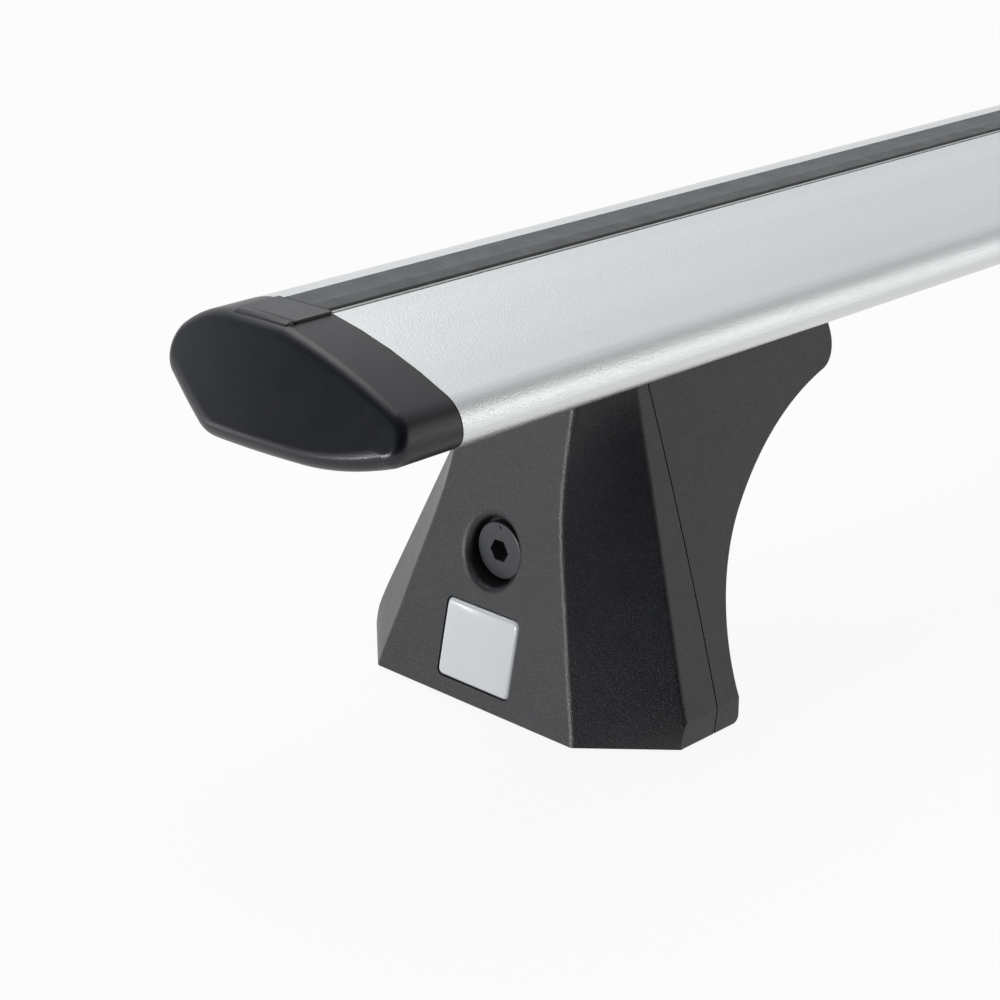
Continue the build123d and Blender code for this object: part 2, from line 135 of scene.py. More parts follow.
FINISHES: tuple[Finish, ...] = (
    Finish("bar_aluminium", Surface.ANODISED, (0.72, 0.73, 0.73), (0.70, 0.71, 0.715), 0.46, 0.08,
           2400.0, 0.00010, metallic=1.0),
    # the strip's second colour is the painted shade of its near band
    Finish("strip_rubber", Surface.STRIP, (0.080, 0.088, 0.095), (0.030, 0.035, 0.040), 0.50,
           0.06, 1500.0, 0.00001),
    # moulded second colours: the crests' painted glint, and the tone of the handling marks
    Finish("cap_plastic", Surface.MOULDED, (0.0015, 0.0025, 0.0060), (0.007, 0.011, 0.020), 0.30,
           0.05, 3200.0, 0.00004),
    Finish("casing_plastic", Surface.MOULDED, (0.002, 0.0028, 0.0046), (0.058, 0.062, 0.071), 0.30,
           0.10, 2800.0, 0.00011),
    Finish("badge_dome", Surface.DOME, (0.62, 0.645, 0.675), (0.60, 0.625, 0.655), 0.16, 0.03, 60.0,
           0.0, coat=1.0),
    Finish("black_screw", Surface.COATED, (0.022, 0.024, 0.028), (0.034, 0.036, 0.041), 0.38, 0.06,
           3200.0, 0.00001),
    Finish("bracket_steel", Surface.COATED, (0.040, 0.040, 0.042), (0.055, 0.055, 0.057), 0.48,
           0.08, 900.0, 0.00002),
    Finish("bright_steel", Surface.PLATED, (0.62, 0.62, 0.60), (0.52, 0.53, 0.53), 0.34, 0.08,
           1200.0, 0.000008, metallic=1.0),
    Finish("pad_rubber", Surface.RUBBER, (0.030, 0.030, 0.032), (0.042, 0.042, 0.044), 0.74, 0.06,
           1100.0, 0.00003),
)


class NodeDesk:
    """A small helper that adds and joins nodes in one node tree."""

    def __init__(self, tree: bpy.types.NodeTree) -> None:
        """Take the tree that nodes are added to."""
        self.tree = tree

    def add(self, kind: str, inputs: dict | None = None, **settings) -> bpy.types.Node:
        """Add a node.

        Args:
            kind: The node's type name.
            inputs: Socket values or output sockets, by socket name or number.
            settings: Attributes of the node.

        Returns:
            The new node.
        """
        node = self.tree.nodes.new(kind)
        for key, value in settings.items():
            setattr(node, key, value)
        for key, value in (inputs or {}).items():
            self.feed(node.inputs[key], value)
        return node

    def feed(self, socket: bpy.types.NodeSocket, value) -> None:
        """Link an output to a socket, or set the socket's own value."""
        if isinstance(value, bpy.types.NodeSocket):
            self.tree.links.new(value, socket)
        else:
            socket.default_value = value

    def math(self, operation: str, first, second=0.0):
        """Add a math node and return its output."""
        return self.add("ShaderNodeMath", {0: first, 1: second}, operation=operation).outputs[0]

    def blend(self, factor, first, second):
        """Add a colour mix and return its output."""
        node = self.add("ShaderNodeMix", data_type="RGBA", blend_type="MIX")
        self.feed(node.inputs["Factor"], factor)
        self.feed(node.inputs["A"], first)
        self.feed(node.inputs["B"], second)
        return node.outputs["Result"]

    def spread(self, value, low: float, high: float, to_low: float, to_high: float):
        """Map a value from one range to another and return the output."""
        node = self.add("ShaderNodeMapRange", {
            "Value": value, "From Min": low, "From Max": high, "To Min": to_low, "To Max": to_high,
        })
        return node.outputs["Result"]

    def glow(self, strength: float):
        """Add a white emission and return its output."""
        node = self.add("ShaderNodeEmission", {"Color": WHITE, "Strength": strength})
        return node.outputs[0]

    def pick(self, factor, first, second):
        """Add a mix of two shaders and return its output."""
        return self.add("ShaderNodeMixShader", {0: factor, 1: first, 2: second}).outputs[0]


class Groups:
    """The node groups that several finishes share, each built once."""

    LINE_STRETCH = 0.006          # the lines are drawn out along X by the inverse of this

    def __init__(self) -> None:
        """Build the groups."""
        self.grain = self._grain()
        self.handling = self._handling()
        self.lines = self._lines()

    @staticmethod
    def _open(name: str, scale: float, outputs: tuple[str, ...]):
        """Make a group and its sockets.

        Args:
            name: Name of the group.
            scale: Value that its Scale socket starts with, in features per metre.
            outputs: Names of the values that it puts out.

        Returns:
            The group, the desk that adds its nodes, its inlet and its outlet.
        """
        tree = bpy.data.node_groups.new(name, "ShaderNodeTree")
        tree.interface.new_socket("Vector", in_out="INPUT", socket_type="NodeSocketVector")
        socket = tree.interface.new_socket("Scale", in_out="INPUT", socket_type="NodeSocketFloat")
        socket.default_value = scale
        for label in outputs:
            tree.interface.new_socket(label, in_out="OUTPUT", socket_type="NodeSocketFloat")
        desk = NodeDesk(tree)
        return tree, desk, desk.add("NodeGroupInput"), desk.add("NodeGroupOutput")

    def _grain(self) -> bpy.types.NodeTree:
        """Build the moulded grain: fine pits and crests, and a speckle mask of the crests, which
        the moulded finish colours paler as a painted glint.
        """
        tree, desk, inlet, outlet = self._open(
            "moulded_grain",
            1500.0,
            ("Height", "Speckle"),
        )
        noise = desk.add("ShaderNodeTexNoise", {
            "Vector": inlet.outputs["Vector"], "Scale": inlet.outputs["Scale"],
            "Detail": 3.0, "Roughness": 0.6,
        })
        cells = desk.add("ShaderNodeTexVoronoi", {
            "Vector": inlet.outputs["Vector"],
            "Scale": desk.math("MULTIPLY", inlet.outputs["Scale"], 0.8),
        })
        crest = desk.spread(cells.outputs["Distance"], 0.0, 0.7, 1.0, 0.0)
        height = desk.math("ADD", desk.math("MULTIPLY", noise.outputs["Fac"], 0.6),
                           desk.math("MULTIPLY", crest, 0.4))
        speckle = desk.spread(height, 0.50, 0.72, 0.0, 1.0)
        desk.feed(outlet.inputs["Height"], height)
        desk.feed(outlet.inputs["Speckle"], speckle)
        return tree

    def _handling(self) -> bpy.types.NodeTree:
        """Build the broad, faint unevenness that handling and moulding leave."""
        tree, desk, inlet, outlet = self._open(
            "handling_marks",
            30.0,
            ("Broad", "Fine"),
        )
        broad = desk.add("ShaderNodeTexNoise", {
            "Vector": inlet.outputs["Vector"], "Scale": inlet.outputs["Scale"],
            "Detail": 4.0, "Roughness": 0.55,
        })
        fine = desk.add("ShaderNodeTexNoise", {
            "Vector": inlet.outputs["Vector"],
            "Scale": desk.math("MULTIPLY", inlet.outputs["Scale"], 9.0),
            "Detail": 5.0, "Roughness": 0.7,
        })
        desk.feed(outlet.inputs["Broad"], desk.spread(broad.outputs["Fac"], 0.3, 0.7, 0.0, 1.0))
        desk.feed(outlet.inputs["Fine"], desk.spread(fine.outputs["Fac"], 0.35, 0.65, 0.0, 1.0))
        return tree

    def _lines(self) -> bpy.types.NodeTree:
        """Build the long fine lines that drawing or brushing leaves along X."""
        tree, desk, inlet, outlet = self._open(
            "draw_lines",
            1500.0,
            ("Height", "Tone"),
        )
        stretch = desk.add("ShaderNodeVectorMath", {0: inlet.outputs["Vector"]},
                           operation="MULTIPLY")
        stretch.inputs[1].default_value = (self.LINE_STRETCH, 1.0, 1.0)
        lines = desk.add("ShaderNodeTexNoise", {
            "Vector": stretch.outputs[0], "Scale": inlet.outputs["Scale"],
            "Detail": 3.0, "Roughness": 0.65,
        })
        broad = desk.add("ShaderNodeTexNoise", {
            "Vector": stretch.outputs[0],
            "Scale": desk.math("MULTIPLY", inlet.outputs["Scale"], 0.12),
            "Detail": 2.0,
        })
        desk.feed(outlet.inputs["Height"], lines.outputs["Fac"])
        desk.feed(outlet.inputs["Tone"], desk.spread(broad.outputs["Fac"], 0.35, 0.65, 0.0, 1.0))
        return tree


class FinishShop:
    """Builds the materials and hands them out by slot name."""

    COAT_ROUGHNESS = 0.06
    BAND = (0.0098, 0.0112)       # Y over which the strip's far band gives way to its near band, which is darkened as painted shade
    LINE_PLACE = 0.0116           # Y of the painted highlight line between them
    # half width and colour of that painted highlight line
    LINE_HALF = 0.0005
    LINE_COLOUR = (0.16, 0.17, 0.18)

    def __init__(self) -> None:
        """Build the shared groups and every finish."""
        self.groups = Groups()
        self.ready = {finish.name: self._build(finish) for finish in FINISHES}

    def dress(self, piece: bpy.types.Object, slot: str) -> None:
        """Give a piece one finish all over."""
        piece.data.materials.clear()
        piece.data.materials.append(self.ready[slot])

    def _build(self, finish: Finish) -> bpy.types.Material:
        """Build the material of one finish."""
        material = bpy.data.materials.new(finish.name)
        material.use_nodes = True
        tree = material.node_tree
        tree.nodes.clear()
        desk = NodeDesk(tree)
        shader = desk.add("ShaderNodeBsdfPrincipled")
        outlet = desk.add("ShaderNodeOutputMaterial")
        tree.links.new(shader.outputs["BSDF"], outlet.inputs["Surface"])
        shader.inputs["Metallic"].default_value = finish.metallic
        if finish.coat:
            shader.inputs["Coat Weight"].default_value = finish.coat
            shader.inputs["Coat Roughness"].default_value = self.COAT_ROUGHNESS
        where = desk.add("ShaderNodeTexCoord").outputs["Object"]
        makers: dict[Surface, Callable] = {
            Surface.ANODISED: self._anodised,
            Surface.MOULDED: self._moulded,
            Surface.RUBBER: self._rubber,
            Surface.COATED: self._coated,
            Surface.PLATED: self._plated,
            Surface.DOME: self._dome,
            Surface.STRIP: self._strip,
        }
        makers[finish.surface](desk, shader, where, finish)
        return material

    def _group(self, desk: NodeDesk, tree: bpy.types.NodeTree, where, scale: float):
        """Place a shared group, fed with a position and a scale, and return its node."""
        node = desk.add("ShaderNodeGroup", node_tree=tree)
        desk.feed(node.inputs["Vector"], where)
        node.inputs["Scale"].default_value = scale
        return node

    @staticmethod
    def _shade(colour: Colour) -> tuple[float, float, float, float]:
        """Return a colour with its alpha."""
        return (*colour, 1.0)

    def _tint(self, desk: NodeDesk, finish: Finish, factor, under=None) -> Socket:
        """Blend a finish's second colour over its first, or over another colour."""
        first = self._shade(finish.colour) if under is None else under
        return desk.blend(factor, first, self._shade(finish.second))

    @staticmethod
    def _rough(desk: NodeDesk, finish: Finish, factor, way: float = 1.0) -> Socket:
        """Spread a finish's roughness over a mask. With way at -1 it falls where that is high."""
        return desk.spread(factor, 0.0, 1.0, finish.roughness - way * finish.spread,
                           finish.roughness + way * finish.spread)

    @staticmethod
    def _close(desk: NodeDesk, shader: bpy.types.Node, colour, rough, height=None,
               depth: float = 0.0) -> None:
        """Feed the shader its colour, its roughness and, where there is one, its bump."""
        desk.feed(shader.inputs["Base Color"], colour)
        desk.feed(shader.inputs["Roughness"], rough)
        if height is not None:
            bump = desk.add("ShaderNodeBump", {"Height": height, "Distance": depth})
            desk.feed(shader.inputs["Normal"], bump.outputs["Normal"])

    def _groups(self, desk: NodeDesk, where, finish: Finish, marks: float,
                lines: float = 0.0) -> tuple:
        """Place the grain, the marks and, where lines is set, the lines, and return them."""
        return (
            self._group(desk, self.groups.grain, where, finish.grain),
            self._group(desk, self.groups.handling, where, marks),
            self._group(desk, self.groups.lines, where, lines) if lines else None,
        )

    @staticmethod
    def _lined(desk: NodeDesk, grain, lines, share: float) -> Socket:
        """Add a share of the lines' height to the grain's."""
        return desk.math("ADD", grain.outputs["Height"],
                         desk.math("MULTIPLY", lines.outputs["Height"], share))

    def _anodised(self, desk: NodeDesk, shader, where, finish: Finish) -> None:
        """Satin anodised extrusion: fine frosting over faint lines along the bar."""
        frost, marks, lines = self._groups(desk, where, finish, 14.0, 900.0)
        drift = desk.spread(marks.outputs["Broad"], 0.0, 1.0, -0.02, 0.03)
        rough = desk.math("ADD", self._rough(desk, finish, frost.outputs["Speckle"]), drift)
        self._close(desk, shader, self._tint(desk, finish, lines.outputs["Tone"]), rough,
                    self._lined(desk, frost, lines, 0.6), finish.depth)

    def _moulded(self, desk: NodeDesk, shader, where, finish: Finish) -> None:
        """Moulded plastic with a spark-eroded grain whose crests are coloured paler, a painted
        glint for their sparkle.
        """
        grain, marks, _ = self._groups(desk, where, finish, 22.0)
        # painted glint: the grain's crests take the paler second colour
        colour = self._tint(desk, finish, grain.outputs["Speckle"])
        wear = desk.math("MULTIPLY", marks.outputs["Broad"], 0.10)
        drift = desk.spread(marks.outputs["Fine"], 0.0, 1.0, -0.015, 0.02)
        rough = desk.math("ADD", self._rough(desk, finish, grain.outputs["Speckle"], -1.0), drift)
        self._close(desk, shader, self._tint(desk, finish, wear, colour), rough,
                    grain.outputs["Height"], finish.depth)

    def _rubber(self, desk: NodeDesk, shader, where, finish: Finish) -> None:
        """Extruded rubber: faint lines along the bar, a bloom and a dry grain."""
        grain, marks, lines = self._groups(desk, where, finish, 18.0, 1100.0)
        colour = self._tint(desk, finish, lines.outputs["Tone"])
        bloom = desk.math("MULTIPLY", marks.outputs["Broad"], 0.15)
        self._close(desk, shader, self._tint(desk, finish, bloom, colour),
                    self._rough(desk, finish, marks.outputs["Fine"]),
                    self._lined(desk, grain, lines, 0.5), finish.depth)

    def _strip(self, desk: NodeDesk, shader, where, finish: Finish) -> None:
        """Build the cover strip's colour: a near band darkened as painted shade, and a pale painted
        highlight line where it meets the far band.
        """
        grain, marks, lines = self._groups(desk, where, finish, 18.0, 1100.0)
        across = desk.add("ShaderNodeSeparateXYZ", {0: where}).outputs["Y"]
        # painted shade: the near band takes the darker second colour
        band = desk.spread(across, *self.BAND, 1.0, 0.0)
        # painted highlight: a thin pale line along the strip's ridge
        away = desk.math("ABSOLUTE", desk.math("SUBTRACT", across, self.LINE_PLACE))
        line = desk.spread(away, 0.0, self.LINE_HALF, 0.5, 0.0)
        colour = desk.blend(line, self._tint(desk, finish, band), self._shade(self.LINE_COLOUR))
        streak = desk.math("MULTIPLY", lines.outputs["Tone"], 0.3)
        self._close(desk, shader, self._tint(desk, finish, streak, colour),
                    self._rough(desk, finish, marks.outputs["Fine"]),
                    self._lined(desk, grain, lines, 0.5), finish.depth)

    def _coated(self, desk: NodeDesk, shader, where, finish: Finish) -> None:
        """Coated steel: a slight orange peel under a satin film."""
        grain, marks, _ = self._groups(desk, where, finish, 60.0)
        self._close(desk, shader, self._tint(desk, finish, marks.outputs["Fine"]),
                    self._rough(desk, finish, marks.outputs["Broad"]),
                    grain.outputs["Height"], finish.depth)

    def _plated(self, desk: NodeDesk, shader, where, finish: Finish) -> None:
        """Zinc-plated steel: cloudy, with fine scratches."""
        grain, marks, _ = self._groups(desk, where, finish, 120.0)
        self._close(desk, shader, self._tint(desk, finish, marks.outputs["Broad"]),
                    self._rough(desk, finish, marks.outputs["Fine"]),
                    grain.outputs["Height"], finish.depth)

    def _dome(self, desk: NodeDesk, shader, where, finish: Finish) -> None:
        """Bare pale plate under a clear dome."""
        marks = self._group(desk, self.groups.handling, where, finish.grain)
        self._close(desk, shader, self._tint(desk, finish, marks.outputs["Broad"]),
                    self._rough(desk, finish, marks.outputs["Fine"]))


@dataclass(frozen=True)
class Arc:
    """One arc of an outline.

    Args:
        radius: Radius in millimetres.
        turn: Turn in degrees, anticlockwise from +Y to +Z where it is positive.
        steps: Edges that it is drawn with.
    """

    radius: float
    turn: float
    steps: int


class Pen:
    """Draws an outline of arcs and straight runs in the YZ plane, as a chain of bmesh edges."""

    def __init__(self, mesh: bmesh.types.BMesh, start: tuple[float, float],
                 heading: tuple[float, float]) -> None:
        """Put the pen down.

        Args:
            mesh: The bmesh that is drawn in.
            start: Y and Z of the first point, in millimetres.
            heading: Direction that the line starts in.
        """
        self.mesh = mesh
        self.heading = Vector((0.0, heading[0], heading[1])).normalized()
        place = Vector((0.0, start[0], start[1]))
        self.tip = bmesh.ops.create_vert(mesh, co=place)["vert"][0]
        self.first = self.tip

    def arc(self, arc: Arc) -> None:
        """Draw an arc that runs on from the line."""
        way = math.copysign(1.0, arc.turn)
        left = Vector((0.0, -self.heading.z, self.heading.y))
        middle = self.tip.co + left * arc.radius * way
        made = bmesh.ops.spin(
            self.mesh, geom=[self.tip], cent=middle, axis=(1.0, 0.0, 0.0),
            angle=math.radians(arc.turn), steps=arc.steps, use_merge=False, use_duplicate=False,
        )
        self.tip = next(v for v in made["geom_last"] if isinstance(v, bmesh.types.BMVert))
        self.heading = Matrix.Rotation(math.radians(arc.turn), 3, "X") @ self.heading

    def run(self, length: float, steps: int) -> None:
        """Draw a straight run on from the line."""
        for _ in range(steps):
            self._step(self.heading * (length / steps))

    def run_to(self, other: bmesh.types.BMVert, steps: int) -> None:
        """Draw a straight run that ends at another vertex."""
        step = (other.co - self.tip.co) / steps
        for _ in range(steps - 1):
            self._step(step)
        bmesh.ops.contextual_create(self.mesh, geom=[self.tip, other])

    def _step(self, step: Vector) -> None:
        """Draw one edge on from the tip."""
        self.tip = bmesh.ops.extrude_vert_indiv(self.mesh, verts=[self.tip])["verts"][0]
        bmesh.ops.translate(self.mesh, vec=step, verts=[self.tip])


def finish_mesh(name: str, mesh: bmesh.types.BMesh, smooth: float = 30.0,
                normals: bool = True) -> bpy.types.Object:
    """Turn a bmesh in metres into an object at the origin, smooth but for its sharp edges.

    Args:
        name: Name of the piece.
        mesh: The bmesh, which is freed.
        smooth: Edges that bend by more than this many degrees stay sharp.
        normals: Whether the faces are turned outwards first.

    Returns:
        The new object, linked to the scene.
    """
    bmesh.ops.remove_doubles(mesh, verts=mesh.verts, dist=MERGE)
    if normals:
        bmesh.ops.recalc_face_normals(mesh, faces=mesh.faces)
    for face in mesh.faces:
        face.smooth = True
    for edge in mesh.edges:
        bend = edge.calc_face_angle(math.pi) if edge.is_manifold else math.pi
        edge.smooth = bend < math.radians(smooth)
    data = bpy.data.meshes.new(name)
    mesh.to_mesh(data)
    mesh.free()
    piece = bpy.data.objects.new(name, data)
    bpy.context.scene.collection.objects.link(piece)
    return piece


def scale_to_metres(mesh: bmesh.types.BMesh) -> None:
    """Scale a bmesh drawn in millimetres to metres."""
    bmesh.ops.scale(mesh, vec=(MM, MM, MM), verts=mesh.verts)


@dataclass
class EndCap:
    """The moulded cap on one end: a skirt that turns over into a leaning, softly domed face.

    The section is drawn as in the solids. s is the distance out from the end of the profile.

    Args:
        side: End of the bar that the cap closes.
        solid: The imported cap, whose inboard part is kept.
    """

    side: Side
    solid: bpy.types.Object
    profile_end: float = 590.0
    bar_base: float = 95.3
    split: float = 13.0           # the solid's own skirt and plugs stay inboard of this
    rim_radius: float = 4.1
    rim_turn: float = 1.62        # the rim turns no further than this, in radians
    rim_steps: int = 12
    face_foot: float = 33.2       # s of the face, run on to its foot
    face_lean: float = 0.567      # loss of s for each millimetre up the face
    face_bend: float = 213.0      # radius of the face across the bar
    face_middle: float = 10.0
    face_hub: tuple[float, float] = (-1.0, 14.0)   # Y and Z that the face's rings close in on
    face_rings: int = 8
    near_start: float = -15.5     # Y where the underside's flat ends towards the near nose
    near_arcs: tuple[Arc, ...] = (Arc(84.0, -17.0, 8), Arc(5.2, -73.0, 12), Arc(9.0, -66.0, 12),
                                  Arc(165.0, -15.0, 12))
    far_start: float = 14.9       # Y where it ends towards the far nose
    heel: Arc = Arc(16.0, 24.3, 6)
    heel_run: float = 18.87
    heel_steps: int = 7
    far_arcs: tuple[Arc, ...] = (Arc(8.09, 117.87, 18), Arc(28.83, 37.53, 9))
    crown_steps: int = 8
    flat_cuts: int = 9
    tab_middle: float = 12.5
    tab_width: float = 20.1
    tab_top: float = 29.75
    tab_end: float = 16.3
    tab_depth: float = 3.0
    tab_overlap: float = 1.0      # how far the tab reaches back past the split
    tab_nose: float = 2.8         # rounding of its outer end
    tab_nose_steps: int = 14
    tab_edge: float = 0.45        # rounding of its long edges
    tab_edge_steps: int = 3
    smooth: float = 38.0

    def face_reach(self, y: float, z: float) -> float:
        """Return s of the end face over a point of the section."""
        bend = (y - self.face_middle) ** 2 / (2.0 * self.face_bend)
        return self.face_foot - self.face_lean * z - bend

    def rim_point(self, point: Vector, inward: Vector, share: float) -> Vector:
        """Return a point of the rolled rim.

        Args:
            point: Point of the section's outline.
            inward: Unit vector into the section there.
            share: Share of the rim's turn, from the skirt at 0 to the face at 1.

        Returns:
            The point, with s along X.
        """
        radius = self.rim_radius
        rise = -self.face_lean * inward.z
        rise -= (point.y - self.face_middle) / self.face_bend * inward.y
        full = min(math.atan2(1.0, rise), self.rim_turn)
        end = point + inward * radius * (1.0 - math.cos(full))
        reach = self.face_reach(end.y, end.z)
        angle = full * share
        flat = point + inward * radius * (1.0 - math.cos(angle))
        return Vector((reach - radius * (math.sin(full) - math.sin(angle)), flat.y, flat.z))

    def outline(self, mesh: bmesh.types.BMesh) -> None:
        """Draw the wing section's outline, closed, in millimetres above the bar's underside."""
        near = Pen(mesh, (self.near_start, 0.0), (-1.0, 0.0))
        for arc in self.near_arcs:
            near.arc(arc)
        far = Pen(mesh, (self.far_start, 0.0), (1.0, 0.0))
        far.arc(self.heel)
        far.run(self.heel_run, self.heel_steps)
        for arc in self.far_arcs:
            far.arc(arc)
        far.run_to(near.tip, self.crown_steps)
        ends = {near.first, far.first}
        bmesh.ops.contextual_create(mesh, geom=[near.first, far.first])
        flat = [e for e in mesh.edges if set(e.verts) == ends]
        bmesh.ops.subdivide_edges(mesh, edges=flat, cuts=self.flat_cuts)

    def body(self) -> bmesh.types.BMesh:
        """Build the domed end, from the split outwards, in millimetres."""
        mesh = bmesh.new()
        tag = mesh.verts.layers.int.new("station")
        self.outline(mesh)
        bmesh.ops.remove_doubles(mesh, verts=mesh.verts, dist=1e-4)
        order = self._in_order(mesh)
        base = [Vector((0.0, v.co.y, v.co.z)) for v in order]
        inward = self._inward(base)
        for number, vert in enumerate(order):
            vert[tag] = number
            vert.co.x = self.split
        ring = list(mesh.edges)
        bmesh.ops.edgenet_fill(mesh, edges=ring)
        for step in range(self.rim_steps + 1):
            t = step / self.rim_steps
            ring = self._extrude(mesh, ring)
            for vert in {v for e in ring for v in e.verts}:
                vert.co = self.rim_point(base[vert[tag]], inward[vert[tag]], t)
        hub_y, hub_z = self.face_hub
        last = {v[tag]: v.co.copy() for v in {v for e in ring for v in e.verts}}
        for step in range(1, self.face_rings + 1):
            share = 1.0 - step / (self.face_rings + 1)
            ring = self._extrude(mesh, ring)
            for vert in {v for e in ring for v in e.verts}:
                rim = last[vert[tag]]
                y = hub_y + (rim.y - hub_y) * share
                z = hub_z + (rim.z - hub_z) * share
                over = (rim.x - self.face_reach(rim.y, rim.z)) * share * share
                vert.co = Vector((self.face_reach(y, z) + over, y, z))
        bmesh.ops.edgeloop_fill(mesh, edges=ring)
        return mesh

    @staticmethod
    def _extrude(mesh: bmesh.types.BMesh, ring: list) -> list:
        """Extrude a ring of edges and return the new ring."""
        made = bmesh.ops.extrude_edge_only(mesh, edges=ring)
        old = set(ring)
        return [g for g in made["geom"] if isinstance(g, bmesh.types.BMEdge) and g not in old]

    @staticmethod
    def _in_order(mesh: bmesh.types.BMesh) -> list:
        """Return the outline's vertices in order round the loop."""
        start = mesh.edges[:][0].verts[0]
        order = [start]
        edge = start.link_edges[0]
        while True:
            following = edge.other_vert(order[-1])
            if following is start:
                return order
            order.append(following)
            edge = next(e for e in following.link_edges if e is not edge)

    @staticmethod
    def _inward(points: list[Vector]) -> list[Vector]:
        """Return the unit vectors that point into the section from each point of its outline."""
        middle = sum(points, Vector()) / len(points)
        found = []
        for number, point in enumerate(points):
            along = points[(number + 1) % len(points)] - points[number - 1]
            across = Vector((0.0, -along.z, along.y)).normalized()
            found.append(across if across.dot(middle - point) > 0 else -across)
        return found

    def tab(self) -> bmesh.types.BMesh:
        """Build the flat tab that carries the strip's line on and runs out over the rim."""
        mesh = bmesh.new()
        bmesh.ops.create_cube(mesh, size=1.0)
        start = self.split - self.tab_overlap
        length = self.tab_end - start
        bmesh.ops.scale(mesh, vec=(length, self.tab_width, self.tab_depth), verts=mesh.verts)
        bmesh.ops.translate(
            mesh, verts=mesh.verts,
            vec=(start + length / 2, self.tab_middle, self.tab_top - self.tab_depth / 2),
        )
        front = [e for e in mesh.edges
                 if all(v.co.x > self.tab_end - NEAR and v.co.z > self.tab_top - NEAR
                        for v in e.verts)]
        bmesh.ops.bevel(mesh, geom=front, offset=self.tab_nose, segments=self.tab_nose_steps,
                        profile=0.5, affect="EDGES", material=-1)
        sides = [e for e in mesh.edges
                 if e.calc_face_angle(0.0) > math.radians(60)
                 and abs(e.verts[0].co.y - e.verts[1].co.y) < NEAR
                 and min(v.co.z for v in e.verts) > self.tab_top - self.tab_depth + 0.5]
        bmesh.ops.bevel(mesh, geom=sides, offset=self.tab_edge, segments=self.tab_edge_steps,
                        profile=0.5, affect="EDGES", material=-1)
        return mesh

    def root(self) -> bmesh.types.BMesh:
        """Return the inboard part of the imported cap: its skirt, plugs and pockets, closed."""
        mesh = bmesh.new()
        mesh.from_mesh(self.solid.data)
        bmesh.ops.remove_doubles(mesh, verts=mesh.verts, dist=MERGE)
        sign = self.side.value
        cut = sign * (self.profile_end + self.split) * MM
        made = bmesh.ops.bisect_plane(
            mesh, geom=mesh.verts[:] + mesh.edges[:] + mesh.faces[:],
            plane_co=(cut, 0.0, 0.0), plane_no=(sign, 0.0, 0.0), clear_outer=True,
        )
        rim = [g for g in made["geom_cut"] if isinstance(g, bmesh.types.BMEdge)]
        bmesh.ops.holes_fill(mesh, edges=rim, sides=0)
        return mesh

    def place(self, mesh: bmesh.types.BMesh) -> None:
        """Move a part drawn with s along X to its end of the bar, in metres."""
        bmesh.ops.translate(mesh, vec=(self.profile_end, 0.0, self.bar_base), verts=mesh.verts)
        scale_to_metres(mesh)
        if self.side is Side.LEFT:
            bmesh.ops.scale(mesh, vec=(-1.0, 1.0, 1.0), verts=mesh.verts)
        bmesh.ops.recalc_face_normals(mesh, faces=mesh.faces)

    def build(self) -> bpy.types.Object:
        """Build the whole cap as one piece and return it."""
        whole = self.root()
        for part in (self.body(), self.tab()):
            self.place(part)
            merge_into(whole, part)
        return finish_mesh(f"{self.side.label}_cap", whole, self.smooth,
                           normals=False)


def merge_into(whole: bmesh.types.BMesh, part: bmesh.types.BMesh) -> None:
    """Add one bmesh to another and free it."""
    data = bpy.data.meshes.new("part")
    part.to_mesh(data)
    part.free()
    whole.from_mesh(data)
    bpy.data.meshes.remove(data)


